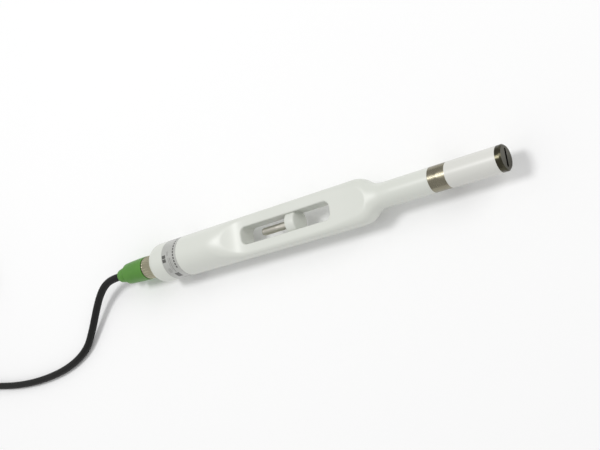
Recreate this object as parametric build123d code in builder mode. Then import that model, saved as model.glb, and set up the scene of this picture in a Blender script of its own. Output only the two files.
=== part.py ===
import os
from math import cos, pi, radians, sin

from build123d import *

# A probe that measures the conductivity and the temperature of water, with its plug-in cable.
# It lies on its side: X runs along it towards the tip, Z is up, and its underside is at Z = 0.
# All sizes are in millimetres.

# Housing
body_diameter = 25.0
body_length = 162.0
rear_rounding = 7.5
rear_cap_length = 20.0
wall = 3.0
shoulder_length = 16.0
neck_diameter = 13.3
neck_length = 29.3

# Flattened middle with the flow window
slab_thickness = 10.0
ramp_length = 15.0
ramp_foot_to_window = 3.0
ramp_rounding = 7.0
window_length = 65.7
window_height = 10.2
window_corner = 3.6
window_edge_rounding = 0.9
window_to_shoulder = 16.8
slab_run_out = 18.0

# Temperature pin and its holder
holder_diameter = 13.2
holder_length = 6.4
holder_to_window_end = 24.8
pin_diameter = 4.5
pin_reach = 21.8
pin_seat_depth = 2.1
pin_wall = 0.35

# Electrode tip
ring_length = 9.5
sleeve_length = 27.1
end_electrode_length = 2.9
end_chamfer = 0.7
slot_width = 1.7
slot_depth = 1.3
slot_length = 9.4
core_diameter = 9.0
core_seat_depth = 14.0
stud_diameter = 4.0
stud_length = 10.0
lead_bore_diameter = 3.0

# Electronics
seal_thickness = 1.0
spigot_length = 8.0
spigot_wall = 1.7
board_length = 36.0
board_width = 16.0
board_thickness = 1.6
clip_thickness = 2.6
channel_diameter = 2.6
channel_offset = 7.9
wire_diameter = 0.9
wire_spacing = 1.1

# Label
label_length = 13.0
label_thickness = 0.2
label_to_rear = 16.6

# Plug connection, with the sizes of a standard M12 circular connector
thread_diameter = 11.8
thread_length = 8.0
shell_bore = 8.9
shell_flange_diameter = 16.0
end_wall = 6.0
contact_count = 4
contact_circle = 5.0
contact_diameter = 0.8
socket_bore = 1.3
socket_diameter = 1.9
nut_diameter = 15.0
nut_length = 13.0
nut_lip = 3.1
nut_rib_count = 30
nut_rib_depth = 0.35
running_gap = 0.3
plug_neck_diameter = 9.8
plug_flange = 1.0
plug_front_diameter = 15.4
plug_back_diameter = 13.6
plug_length = 17.0
skirt_length = 3.1
skirt_wall = 0.6
plug_waist_diameter = 10.2
plug_waist_length = 1.2
boot_diameter = 11.2
boot_length = 7.0

# Cable
cable_diameter = 5.2
cable_socket_depth = 12.0
coil_middle_diameter = 57.0
coil_turns_across = 3.6
coil_layers = 2
tie_width = 9.0
tie_thickness = 0.8
coil_centre = (-408.0, -9.0)

fit = 0.05

# Places that follow from the sizes
body_radius = body_diameter / 2
neck_radius = neck_diameter / 2
plug_side = nut_length + running_gap + plug_length + plug_waist_length + boot_length
tip_side = neck_length + ring_length + sleeve_length + end_electrode_length
overall_length = plug_side + body_length + shoulder_length + tip_side
rear_x = plug_side - overall_length / 2
shoulder_x = rear_x + body_length
neck_x = shoulder_x + shoulder_length
ring_x = neck_x + neck_length
sleeve_x = ring_x + ring_length
end_x = sleeve_x + sleeve_length
tip_x = end_x + end_electrode_length
window_front_x = shoulder_x - window_to_shoulder
window_back_x = window_front_x - window_length
ramp_foot_x = window_back_x - ramp_foot_to_window
ramp_top_x = ramp_foot_x - ramp_length
seam_x = rear_x + rear_cap_length
cavity_front_x = ramp_top_x - wall / 2
cavity_radius = body_radius - wall
spigot_radius = cavity_radius + spigot_wall - 0.4
holder_front_x = window_front_x - holder_to_window_end
holder_back_x = holder_front_x - holder_length
neck_bore_x = window_front_x + 5.0
cross_drill_x = neck_bore_x + 3.0
holder_drill_x = holder_back_x + pin_seat_depth + 1.5
core_front_x = end_x - 2.0
stud_back_x = end_x - stud_length
thread_end_x = rear_x - thread_length
plug_shoulder_x = thread_end_x - 2 * running_gap
plug_flange_back_x = plug_shoulder_x - plug_flange
nut_front_x = rear_x - running_gap
nut_back_x = rear_x - nut_length
plug_front_x = nut_back_x - running_gap
skirt_front_x = plug_front_x + skirt_length
skirt_radius = plug_front_diameter / 2 - skirt_wall
rib_back_x = skirt_front_x + running_gap
plug_back_x = plug_front_x - plug_length
waist_back_x = plug_back_x - plug_waist_length
boot_back_x = waist_back_x - boot_length
carrier_back_x = plug_flange_back_x - 8.5
cable_inner_x = boot_back_x + cable_socket_depth
label_x = rear_x + label_to_rear

axis_plane = Plane(origin=(0, 0, body_radius), x_dir=(1, 0, 0), z_dir=(0, -1, 0))
flat_plane = Plane.XY.offset(body_radius)
probe_axis = Axis((0, 0, body_radius), (1, 0, 0))


def across(x):
    """The plane that cuts the probe's axis at x, with its own X along Y and its own Y along Z."""
    return Plane(origin=(x, 0, body_radius), x_dir=(0, 1, 0), z_dir=(1, 0, 0))


def band(x_from, x_to, inner, outer):
    """A rectangle in the open sketch, between two places along the axis and two radii."""
    with Locations(((x_from + x_to) / 2, (inner + outer) / 2)):
        Rectangle(x_to - x_from, outer - inner)


def wire(points, radius, bend):
    """A round wire through the points, added to the open part."""
    with BuildLine() as path:
        FilletPolyline(*points, radius=bend)
    with BuildSketch(Plane(origin=path.line @ 0, z_dir=path.line % 0)) as section:
        Circle(radius)
    sweep(sections=section.sketch, path=path.line)


def finish(part, name):
    part.label = name
    export_step(part, f"parts/{name}.step")


os.makedirs("parts", exist_ok=True)

# Main body: a turned tube with a slim neck, flattened in the middle and cut through by the window.
with BuildPart() as main_body:
    with BuildSketch(axis_plane):
        with BuildLine():
            middle = ((shoulder_x + neck_x) / 2, (body_radius + neck_radius) / 2)
            Polyline((seam_x, 0), (seam_x, body_radius), (shoulder_x, body_radius))
            TangentArc((shoulder_x, body_radius), middle, tangent=(1, 0))
            TangentArc((neck_x, neck_radius), middle, tangent=(-1, 0))
            Polyline((neck_x, neck_radius), (ring_x, neck_radius), (ring_x, 0), (seam_x, 0))
        make_face()
    revolve(axis=probe_axis)
    with BuildSketch(axis_plane) as flat_cut:
        with BuildLine():
            half = slab_thickness / 2
            FilletPolyline(
                (ramp_top_x - 9.0, body_radius),
                (ramp_top_x, body_radius),
                (ramp_foot_x, half),
                (neck_x - slab_run_out, half),
                (neck_x, neck_radius),
                radius=(ramp_rounding, ramp_rounding, 2 * ramp_rounding),
            )
            Polyline(
                (neck_x, neck_radius), (neck_x, body_radius + 1),
                (ramp_top_x - 9.0, body_radius + 1), (ramp_top_x - 9.0, body_radius),
            )
        make_face()
        mirror(about=Plane.XZ)
    extrude(amount=body_diameter, both=True, mode=Mode.SUBTRACT)
    with BuildSketch(flat_plane):
        with Locations(((window_back_x + window_front_x) / 2, 0)):
            RectangleRounded(window_length, window_height, window_corner)
    extrude(amount=body_radius, both=True, mode=Mode.SUBTRACT)
    rims = faces().filter_by(Axis.Z).sort_by(SortBy.AREA)[-2:].edges()
    window_rims = rims.filter_by(
        lambda edge: abs(edge.center().Y) < window_height / 2 + 0.1
        and window_back_x - 0.1 < edge.center().X < window_front_x + 0.1
    )
    fillet(window_rims, window_edge_rounding)
    # Pocket for the pin holder, which bridges the window
    with BuildSketch(across(holder_back_x)):
        Circle(holder_diameter / 2)
    extrude(amount=holder_length, mode=Mode.SUBTRACT)
    # Room for the electronics, the seat of the rear cap, and the bore of the neck
    with BuildSketch(axis_plane):
        band(seam_x, cavity_front_x, 0, cavity_radius)
        band(seam_x, seam_x + spigot_length, 0, spigot_radius)
        band(neck_bore_x, ring_x - core_seat_depth, 0, lead_bore_diameter / 2 + 1.6)
        band(ring_x - core_seat_depth, ring_x, 0, core_diameter / 2 + fit)
        band(label_x, label_x + label_length, body_radius - label_thickness - fit, body_radius + 1)
    revolve(axis=probe_axis, mode=Mode.SUBTRACT)
    # Lead channel along one rail, with a cross drilling at each end of its branch
    with BuildSketch(across(cavity_front_x)):
        with Locations((channel_offset, 0)):
            Circle(channel_diameter / 2)
    extrude(amount=cross_drill_x + channel_diameter / 2 - cavity_front_x, mode=Mode.SUBTRACT)
    with BuildSketch(Plane.XZ.offset(-channel_offset)):
        with Locations((cross_drill_x, body_radius), (holder_drill_x, body_radius)):
            Circle(channel_diameter / 2)
    extrude(amount=channel_offset, mode=Mode.SUBTRACT)
finish(main_body.part, "main_body")

# Rear cap: the domed end, with a spigot that slips into the main body.
with BuildPart() as rear_cap:
    with BuildSketch(axis_plane):
        with BuildLine():
            Polyline((seam_x, 0), (seam_x, body_radius), (rear_x + rear_rounding, body_radius))
            RadiusArc(
                (rear_x + rear_rounding, body_radius),
                (rear_x, body_radius - rear_rounding),
                -rear_rounding,
            )
            Polyline((rear_x, body_radius - rear_rounding), (rear_x, 0), (seam_x, 0))
        make_face()
        band(seam_x, seam_x + spigot_length - fit, 0, spigot_radius - fit)
    revolve(axis=probe_axis)
    with BuildSketch(axis_plane):
        spigot_inner = spigot_radius - spigot_wall
        band(rear_x + end_wall, seam_x + spigot_length, 0, spigot_inner)
        band(rear_x - 1, rear_x + end_wall + 1, 0, thread_diameter / 2 + fit)
        band(label_x, seam_x, body_radius - label_thickness - fit, body_radius + 1)
        band(seam_x + 3.0, seam_x + 4.4, spigot_radius - seal_thickness, spigot_radius + 1)
        band(rear_x + 2.4, rear_x + 3.6, 0, thread_diameter / 2 + seal_thickness)
    revolve(axis=probe_axis, mode=Mode.SUBTRACT)
finish(rear_cap.part, "rear_cap")

# Rings that seal the cap in the body and the connector in the cap.
with BuildPart() as cap_seal:
    with BuildSketch(axis_plane):
        with Locations((seam_x + 3.7, spigot_radius - seal_thickness / 2)):
            Circle(seal_thickness / 2 - fit)
    revolve(axis=probe_axis)
finish(cap_seal.part, "rear_cap_seal")

with BuildPart() as connector_seal:
    with BuildSketch(axis_plane):
        with Locations((rear_x + 3.0, thread_diameter / 2 + seal_thickness / 2)):
            Circle(seal_thickness / 2 - fit)
    revolve(axis=probe_axis)
finish(connector_seal.part, "device_connector_seal")

# Label: a thin printed band let into the housing over the seam.
with BuildPart() as label_band:
    with BuildSketch(axis_plane):
        band(
            label_x + fit, label_x + label_length - fit,
            body_radius - label_thickness - fit / 2, body_radius - fit / 2,
        )
    revolve(axis=probe_axis)
finish(label_band.part, "label_band")

# Connector in the rear cap: a threaded metal shell around four contact pins.
with BuildPart() as device_shell:
    with BuildSketch(axis_plane):
        band(thread_end_x, rear_x + end_wall + 2.0, shell_bore / 2, thread_diameter / 2)
        band(rear_x + end_wall, rear_x + end_wall + 2.0, shell_bore / 2, shell_flange_diameter / 2)
    revolve(axis=probe_axis)
    chamfer(edges().filter_by(GeomType.CIRCLE).group_by(Axis.X)[0], 0.4)
finish(device_shell.part, "device_connector_shell")

with BuildPart() as contact_holder:
    with BuildSketch(across(rear_x + 1.2)):
        Circle(shell_bore / 2 - fit)
        with PolarLocations(contact_circle / 2, contact_count):
            Circle(contact_diameter / 2 + fit, mode=Mode.SUBTRACT)
    extrude(amount=end_wall)
finish(contact_holder.part, "device_contact_holder")

with BuildPart() as contact_pins:
    with BuildSketch(across(thread_end_x + 1.5)):
        with PolarLocations(contact_circle / 2, contact_count):
            Circle(contact_diameter / 2)
    extrude(amount=rear_x + end_wall + 3.5 - thread_end_x - 1.5)
finish(contact_pins.part, "device_contact_pins")

# Circuit board, the clips that hold it, and what is soldered to it.
board_front_x = cavity_front_x - 1.2
board_back_x = board_front_x - board_length
board_top = body_radius + board_thickness / 2
with BuildPart() as circuit_board:
    with BuildSketch(flat_plane.offset(-board_thickness / 2)):
        with Locations(((board_front_x + board_back_x) / 2, 0)):
            RectangleRounded(board_length, board_width, 1.0)
    extrude(amount=board_thickness)
finish(circuit_board.part, "circuit_board")

with BuildPart() as board_clips:
    for clip_x in (board_front_x - clip_thickness - 1.0, board_back_x + 6.0):
        with BuildSketch(across(clip_x)):
            Circle(cavity_radius - fit)
            Circle(cavity_radius - 2.2, mode=Mode.SUBTRACT)
            Rectangle(board_width + 2 * fit, board_thickness + 2 * fit, mode=Mode.SUBTRACT)
            with Locations((channel_offset + 0.8, 0)):
                Rectangle(4.5, 4.5, mode=Mode.SUBTRACT)
        extrude(amount=clip_thickness)
finish(board_clips.part, "board_clips")

board_middle_x = (board_front_x + board_back_x) / 2
with BuildPart() as board_components:
    with BuildSketch(Plane.XY.offset(board_top)):
        with Locations((board_middle_x + 4.0, 0)):
            Rectangle(7.0, 7.0)
        with GridLocations(3.2, 5.0, 2, 2):
            with Locations((board_middle_x - 6.5, 0)):
                Rectangle(1.6, 3.0)
    extrude(amount=1.4)
    with BuildSketch(Plane.XY.offset(board_top)):
        with Locations((board_middle_x - 3.0, -5.0), (board_middle_x - 3.0, 5.0)):
            Circle(1.4)
    extrude(amount=3.0)
    with BuildSketch(Plane.XY.offset(board_top - board_thickness)):
        with Locations((board_middle_x + 3.0, -3.0), (board_middle_x - 5.0, 2.0)):
            Rectangle(5.0, 4.0)
    extrude(amount=-1.6)
finish(board_components.part, "board_components")

# Wires from the contact pins to the rear edge of the board.
wire_radius = wire_diameter / 2
pins_end_x = rear_x + end_wall + 3.5
with BuildPart() as signal_wires:
    pad_height = board_thickness / 2 + wire_radius
    for y, z, side, pad in ((2.5, 0, 1, 2.2), (0, 2.5, 1, -2.2), (-2.5, 0, -1, -2.2), (0, -2.5, -1, 2.2)):
        wire(
            [
                (pins_end_x, y, body_radius + z),
                (pins_end_x + 2.5, y, body_radius + z),
                (board_back_x - 2.0, pad, body_radius + side * pad_height),
                (board_back_x + 3.0, pad, body_radius + side * pad_height),
            ],
            wire_radius, 0.8,
        )
finish(signal_wires.part, "signal_wires")

# Temperature pin: a thin steel tube with a round end, its holder, sensor element and leads.
pin_tip_x = holder_back_x - pin_reach
pin_radius = pin_diameter / 2
with BuildPart() as pin_holder:
    with BuildSketch(across(holder_back_x)):
        Circle(holder_diameter / 2)
    extrude(amount=holder_length)
    chamfer(edges().filter_by(GeomType.CIRCLE).group_by(Axis.X)[-1], 0.8)
    with BuildSketch(axis_plane):
        band(holder_back_x, holder_back_x + pin_seat_depth, 0, pin_radius + fit)
        band(holder_back_x, holder_drill_x + wire_diameter, 0, channel_diameter / 2)
    revolve(axis=probe_axis, mode=Mode.SUBTRACT)
    with BuildSketch(Plane.XZ.offset(-holder_diameter / 2)):
        with Locations((holder_drill_x, body_radius)):
            Circle(channel_diameter / 2)
    extrude(amount=holder_diameter / 2, mode=Mode.SUBTRACT)
finish(pin_holder.part, "pin_holder")

with BuildPart() as temperature_pin:
    with BuildSketch(axis_plane):
        band(pin_tip_x, holder_back_x + pin_seat_depth - fit, 0, pin_radius)
    revolve(axis=probe_axis)
    fillet(edges().filter_by(GeomType.CIRCLE).group_by(Axis.X)[0], 1.5)
    with BuildSketch(axis_plane):
        band(pin_tip_x + 1.2, holder_back_x + pin_seat_depth, 0, pin_radius - pin_wall)
    revolve(axis=probe_axis, mode=Mode.SUBTRACT)
finish(temperature_pin.part, "temperature_pin")

with BuildPart() as temperature_element:
    with BuildSketch(across(pin_tip_x + 1.3)):
        Circle(pin_radius - pin_wall - fit)
    extrude(amount=4.0)
finish(temperature_element.part, "temperature_element")

half_spacing = wire_spacing / 2
lead_start_x = board_front_x - 0.5
with BuildPart() as temperature_leads:
    for side in (-1, 1):
        lead_y = channel_offset - half_spacing
        lead_z = body_radius + side * half_spacing
        wire(
            [
                (lead_start_x + 0.6, lead_y, lead_z),
                (holder_drill_x, lead_y, lead_z),
                (holder_drill_x, 0, lead_z),
                (pin_tip_x + 5.3, 0, lead_z),
            ],
            wire_radius, 0.7,
        )
finish(temperature_leads.part, "temperature_leads")

# Electrode tip: a core in the neck carries the ring, the insulating sleeve and the end electrode.
seal_places = (ring_x + 2.0, sleeve_x - 2.0, sleeve_x + 2.0, end_x - 4.0)
ring_lead_x = (ring_x + sleeve_x) / 2
with BuildPart() as tip_core:
    with BuildSketch(axis_plane):
        band(ring_x - core_seat_depth + fit, core_front_x, 0, core_diameter / 2)
    revolve(axis=probe_axis)
    with BuildSketch(axis_plane):
        band(ring_x - core_seat_depth, core_front_x, 0, lead_bore_diameter / 2)
        band(stud_back_x - fit, core_front_x, 0, stud_diameter / 2 + fit)
        for seal_x in seal_places:
            band(seal_x - 0.7, seal_x + 0.7, core_diameter / 2 - seal_thickness, core_diameter / 2 + 1)
    revolve(axis=probe_axis, mode=Mode.SUBTRACT)
    with BuildSketch(Plane.XZ):
        with Locations((ring_lead_x, body_radius)):
            Circle(wire_spacing / 2 + wire_diameter / 2 + fit)
    extrude(amount=-core_diameter, mode=Mode.SUBTRACT)
finish(tip_core.part, "tip_core")

with BuildPart() as electrode_seals:
    with BuildSketch(axis_plane):
        for seal_x in seal_places:
            with Locations((seal_x, core_diameter / 2 - seal_thickness / 2)):
                Circle(seal_thickness / 2 - fit)
    revolve(axis=probe_axis)
finish(electrode_seals.part, "electrode_seals")

with BuildPart() as ring_electrode:
    with BuildSketch(axis_plane):
        band(ring_x, sleeve_x, core_diameter / 2 + fit, neck_radius)
    revolve(axis=probe_axis)
finish(ring_electrode.part, "ring_electrode")

with BuildPart() as tip_sleeve:
    with BuildSketch(axis_plane):
        band(sleeve_x, end_x, core_diameter / 2 + fit, neck_radius)
    revolve(axis=probe_axis)
finish(tip_sleeve.part, "tip_sleeve")

with BuildPart() as end_electrode:
    with BuildSketch(axis_plane):
        band(end_x, tip_x, 0, neck_radius)
        band(stud_back_x, end_x, 0, stud_diameter / 2)
        band(core_front_x + 0.2, end_x, 0, core_diameter / 2)
    revolve(axis=probe_axis)
    chamfer(edges().filter_by(GeomType.CIRCLE).group_by(Axis.X)[-1], end_chamfer)
    with BuildSketch(across(tip_x)):
        SlotOverall(slot_length, slot_width)
    extrude(amount=-slot_depth, mode=Mode.SUBTRACT)
finish(end_electrode.part, "end_electrode")

with BuildPart() as electrode_leads:
    lead_y = channel_offset + half_spacing
    for side, last_x, last_y in ((-1, stud_back_x - fit, 0), (1, ring_lead_x, core_diameter / 2 - 0.2)):
        lead_z = body_radius + side * half_spacing
        points = [
            (lead_start_x + 0.6, lead_y, lead_z),
            (cross_drill_x, lead_y, lead_z),
            (cross_drill_x, 0, lead_z),
            (last_x, 0, lead_z),
        ]
        if last_y:
            points.append((last_x, last_y, lead_z))
        wire(points, wire_radius, 0.7)
finish(electrode_leads.part, "electrode_leads")

# Plug of the cable. Its contact carrier holds four sockets and keeps the coupling nut on.
with BuildPart() as plug_carrier:
    with BuildSketch(axis_plane):
        band(plug_shoulder_x, rear_x + 0.6, 0, shell_bore / 2 - running_gap)
        band(plug_flange_back_x, plug_shoulder_x, 0, thread_diameter / 2)
        band(carrier_back_x, plug_flange_back_x, 0, plug_neck_diameter / 2)
    revolve(axis=probe_axis)
    with BuildSketch(across(carrier_back_x)):
        with PolarLocations(contact_circle / 2, contact_count):
            Circle(socket_diameter / 2 + fit)
    extrude(amount=rear_x + 0.6 - carrier_back_x, mode=Mode.SUBTRACT)
finish(plug_carrier.part, "plug_contact_carrier")

with BuildPart() as plug_sockets:
    with BuildSketch(across(carrier_back_x)):
        with PolarLocations(contact_circle / 2, contact_count):
            Circle(socket_diameter / 2)
    extrude(amount=rear_x + 0.3 - carrier_back_x)
    with BuildSketch(across(plug_shoulder_x - 0.5)):
        with PolarLocations(contact_circle / 2, contact_count):
            Circle(socket_bore / 2)
    extrude(amount=rear_x + 0.3 - plug_shoulder_x + 0.5, mode=Mode.SUBTRACT)
finish(plug_sockets.part, "plug_contact_sockets")

with BuildPart() as plug_seal:
    with BuildSketch(axis_plane):
        band(plug_shoulder_x, thread_end_x - running_gap, shell_bore / 2, thread_diameter / 2 - 0.2)
    revolve(axis=probe_axis)
finish(plug_seal.part, "plug_seal")

# Coupling nut: turns on the plug and screws onto the thread of the probe.
with BuildPart() as coupling_nut:
    with BuildSketch(axis_plane):
        band(nut_back_x, nut_front_x, plug_neck_diameter / 2 + running_gap, nut_diameter / 2)
    revolve(axis=probe_axis)
    chamfer(edges().filter_by(GeomType.CIRCLE).group_by(SortBy.RADIUS)[-1], 0.5)
    with BuildSketch(axis_plane):
        band(nut_back_x + nut_lip, nut_front_x, 0, thread_diameter / 2 + running_gap)
    revolve(axis=probe_axis, mode=Mode.SUBTRACT)
    with BuildSketch(across(rib_back_x)):
        with PolarLocations(nut_diameter / 2, nut_rib_count):
            Circle(nut_rib_depth)
    extrude(amount=nut_front_x - 2.0 - rib_back_x, mode=Mode.SUBTRACT)
    with BuildSketch(axis_plane):
        band(nut_back_x, rib_back_x, skirt_radius - running_gap, nut_diameter / 2 + 1)
    revolve(axis=probe_axis, mode=Mode.SUBTRACT)
finish(coupling_nut.part, "coupling_nut")

# Moulded body of the plug, with the round boot that the cable leaves.
with BuildPart() as plug_body:
    with BuildSketch(axis_plane):
        with BuildLine():
            Polyline(
                (boot_back_x, 0), (boot_back_x, boot_diameter / 2), (waist_back_x, boot_diameter / 2),
                (waist_back_x, plug_waist_diameter / 2), (plug_back_x, plug_waist_diameter / 2),
                (plug_back_x, plug_back_diameter / 2), (plug_front_x, plug_front_diameter / 2),
                (plug_front_x, 0), (boot_back_x, 0),
            )
        make_face()
    revolve(axis=probe_axis)
    rounded = edges().filter_by(GeomType.CIRCLE)
    fillet(rounded.filter_by(lambda edge: abs(edge.radius - plug_back_diameter / 2) < 0.01), 1.6)
    fillet(edges().filter_by(GeomType.CIRCLE).group_by(Axis.X)[0], 1.5)
    with BuildSketch(axis_plane):
        band(plug_front_x, skirt_front_x, skirt_radius, plug_front_diameter / 2)
    revolve(axis=probe_axis)
    with BuildSketch(axis_plane):
        band(carrier_back_x - fit, plug_front_x, 0, plug_neck_diameter / 2 + fit)
        band(cable_inner_x, carrier_back_x, 0, plug_neck_diameter / 2 - 1.2)
        band(boot_back_x, cable_inner_x, 0, cable_diameter / 2 + fit)
    revolve(axis=probe_axis, mode=Mode.SUBTRACT)
finish(plug_body.part, "plug_body")

with BuildPart() as cable_anchor:
    with BuildSketch(across(boot_back_x)):
        Circle(cable_diameter / 2)
    extrude(amount=cable_socket_depth)
finish(cable_anchor.part, "cable_end_in_plug")

with BuildPart() as plug_wires:
    for corner in range(contact_count):
        y = contact_circle / 2 * cos(radians(90 * corner))
        z = contact_circle / 2 * sin(radians(90 * corner))
        middle_x = (cable_inner_x + carrier_back_x) / 2
        wire(
            [
                (carrier_back_x, y, body_radius + z),
                (middle_x + 0.5, y, body_radius + z),
                (middle_x - 0.5, 0.5 * y, body_radius + 0.5 * z),
                (cable_inner_x, 0.5 * y, body_radius + 0.5 * z),
            ],
            wire_radius, 0.3,
        )
finish(plug_wires.part, "plug_wires")

# Cable: from the boot down to the floor, along it, and wound into a coil for storage.
cable_radius = cable_diameter / 2
floor_z = cable_radius
coil_floor_z = tie_thickness + cable_radius
coil_half_width = coil_turns_across * cable_diameter / 2
coil_outer_radius = coil_middle_diameter / 2 + coil_half_width
coil_x, coil_y = coil_centre
beside_coil_y = coil_y - coil_outer_radius - cable_diameter - 0.1
lead_points = [
    (boot_back_x, 0, body_radius),
    (boot_back_x - 11, 0, body_radius),
    (boot_back_x - 21, -3.0, 11.7),
    (boot_back_x - 30, -9.0, 9.8),
    (boot_back_x - 38.5, -18, 7.6),
    (boot_back_x - 48, -30, 5.2),
    (boot_back_x - 60, -43, 3.0),
    (boot_back_x - 84, -52.5, floor_z),
    (boot_back_x - 116, -57, floor_z),
    (boot_back_x - 152, -57.5, floor_z),
    (boot_back_x - 190, beside_coil_y - 2.0, floor_z + 0.2),
    (boot_back_x - 224, beside_coil_y, coil_floor_z),
    (coil_x, beside_coil_y, coil_floor_z),
]
far_side_y = coil_y + coil_outer_radius + cable_diameter + 0.1
far_plug_z = nut_diameter / 2 + 0.1
tail_points = [
    (coil_x, far_side_y, coil_floor_z + cable_diameter),
    (coil_x + 16, far_side_y - 0.4, coil_floor_z + cable_diameter),
    (coil_x + 30, far_side_y - 2.0, far_plug_z),
    (coil_x + 44, far_side_y - 2.0, far_plug_z),
]


def largest_arcs(points):
    """For each corner of a route, the largest arc that its two runs leave room for."""
    radii = []
    for before, corner, after in zip(points, points[1:], points[2:]):
        arriving = Vector(*corner) - Vector(*before)
        leaving = Vector(*after) - Vector(*corner)
        turn = radians(arriving.get_angle(leaving))
        radii.append(0.45 * min(arriving.length, leaving.length) / (sin(turn / 2) / cos(turn / 2)))
    return radii


def cable_tube(points):
    """A cable along a route, added to the open part."""
    radii = largest_arcs(points)
    print("cable radii", [round(radius) for radius in radii])
    with BuildLine() as path:
        FilletPolyline(*points, radius=radii)
    with BuildSketch(Plane(origin=path.line @ 0, z_dir=path.line % 0)) as section:
        Circle(cable_radius)
    sweep(sections=section.sketch, path=path.line)
    return sum(edge.length for edge in path.line.edges())


with BuildPart() as cable_lead:
    lead_length = cable_tube(lead_points)
finish(cable_lead.part, "cable_lead")

with BuildPart() as cable_tail:
    tail_length = cable_tube(tail_points)
finish(cable_tail.part, "cable_tail")
print("cable lengths", round(lead_length), round(tail_length))

coil_axis = Axis((coil_x, coil_y, 0), (0, 0, 1))
coil_height = coil_layers * cable_diameter
coil_width = 2 * coil_half_width + cable_diameter
with BuildPart() as cable_coil:
    with BuildSketch(Plane.XZ.offset(-coil_y)):
        with Locations((coil_x + coil_middle_diameter / 2, tie_thickness + coil_height / 2)):
            RectangleRounded(coil_width, coil_height, cable_radius * 0.9)
    revolve(axis=coil_axis)
finish(cable_coil.part, "cable_coil")

with BuildPart() as coil_tie:
    with BuildSketch(Plane.XZ.offset(-coil_y - tie_width / 2)):
        with Locations((coil_x - coil_middle_diameter / 2, tie_thickness + coil_height / 2)):
            Rectangle(coil_width + 2 * tie_thickness + 2, coil_height + 2 * tie_thickness)
            Rectangle(coil_width + 2, coil_height, mode=Mode.SUBTRACT)
    extrude(amount=tie_width)
finish(coil_tie.part, "coil_tie")

# Plug on the far end of the cable, with a screw sleeve that turns.
far_plane = Plane(origin=tail_points[-1], x_dir=(1, 0, 0), z_dir=(0, -1, 0))
far_axis = Axis(tail_points[-1], (1, 0, 0))
far_boot_x = boot_length + plug_waist_length
far_body_x = far_boot_x + plug_length
far_nut_x = far_body_x + running_gap
far_end_x = far_nut_x + nut_length
with BuildPart() as far_body:
    with BuildSketch(far_plane):
        band(0, boot_length, 0, boot_diameter / 2)
        band(boot_length, far_boot_x, 0, plug_waist_diameter / 2)
        band(far_boot_x, far_body_x, 0, plug_back_diameter / 2)
    revolve(axis=far_axis)
    fillet(edges().filter_by(GeomType.CIRCLE).group_by(Axis.X)[0], 1.5)
    fillet(edges().filter_by(GeomType.CIRCLE).group_by(Axis.X)[-1], 0.6)
finish(far_body.part, "far_plug_body")

with BuildPart() as far_insert:
    with BuildSketch(far_plane):
        band(far_body_x, far_end_x + 4.0, 0, shell_bore / 2 - 0.6)
        band(far_end_x - 4.0, far_end_x - 3.0, 0, shell_bore / 2 - 0.3)
    revolve(axis=far_axis)
    with BuildSketch(Plane(origin=far_axis.position + (far_end_x + 4.0, 0, 0), z_dir=(1, 0, 0))):
        Circle(shell_bore / 2 - 1.3)
    extrude(amount=-6.5, mode=Mode.SUBTRACT)
finish(far_insert.part, "far_plug_insert")

with BuildPart() as far_pins:
    with BuildSketch(Plane(origin=far_axis.position + (far_end_x - 2.5, 0, 0), z_dir=(1, 0, 0))):
        with PolarLocations(contact_circle / 2 - 0.4, contact_count):
            Circle(contact_diameter / 2)
    extrude(amount=5.5)
finish(far_pins.part, "far_plug_pins")

with BuildPart() as far_sleeve:
    with BuildSketch(far_plane):
        band(far_nut_x, far_end_x - 3.0, shell_bore / 2, nut_diameter / 2)
        band(far_end_x - 3.0, far_end_x + 3.5, shell_bore / 2, thread_diameter / 2)
    revolve(axis=far_axis)
    with BuildSketch(Plane(origin=far_axis.position + (far_nut_x + 1.5, 0, 0), z_dir=(1, 0, 0))):
        with PolarLocations(nut_diameter / 2, nut_rib_count):
            Circle(nut_rib_depth)
    extrude(amount=nut_length - 6.0, mode=Mode.SUBTRACT)
finish(far_sleeve.part, "far_plug_sleeve")
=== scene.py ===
import math

import bpy
import numpy as np
from mathutils import Matrix, Vector


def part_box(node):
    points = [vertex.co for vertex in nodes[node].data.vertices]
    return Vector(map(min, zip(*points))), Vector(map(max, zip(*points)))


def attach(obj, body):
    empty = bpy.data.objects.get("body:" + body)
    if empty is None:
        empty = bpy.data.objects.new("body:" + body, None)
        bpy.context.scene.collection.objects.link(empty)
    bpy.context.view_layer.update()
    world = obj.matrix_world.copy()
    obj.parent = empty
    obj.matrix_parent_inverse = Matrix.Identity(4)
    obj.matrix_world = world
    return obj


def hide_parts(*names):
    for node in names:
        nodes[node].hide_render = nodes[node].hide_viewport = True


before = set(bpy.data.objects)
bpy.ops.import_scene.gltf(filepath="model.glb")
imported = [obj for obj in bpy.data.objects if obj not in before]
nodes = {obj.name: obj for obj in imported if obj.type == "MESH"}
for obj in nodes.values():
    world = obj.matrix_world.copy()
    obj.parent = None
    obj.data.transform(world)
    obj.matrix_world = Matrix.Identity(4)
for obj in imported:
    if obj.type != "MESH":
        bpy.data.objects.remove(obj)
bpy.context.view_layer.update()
mm = 0.001


def corners(node):
    low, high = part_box(node)
    return Vector(low), Vector(high)


rearX = corners("rear_cap")[0].x
bodyLow, bodyHigh = corners("main_body")
axisHeight = (bodyLow.z + bodyHigh.z) / 2
bodyRadius = (bodyHigh.z - bodyLow.z) / 2

# Camera

cameraView = {
    "lens": 49.5,
    "distance": 0.46,
    "nearest": 0.01,
    "across": (0.758, -0.148, -0.634),
    "toCamera": (0.609, -0.185, 0.771),
    "anchorFromRear": 0.1217,
    "slideAcross": -0.0012,
    "slideUp": -0.0026,
}


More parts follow.
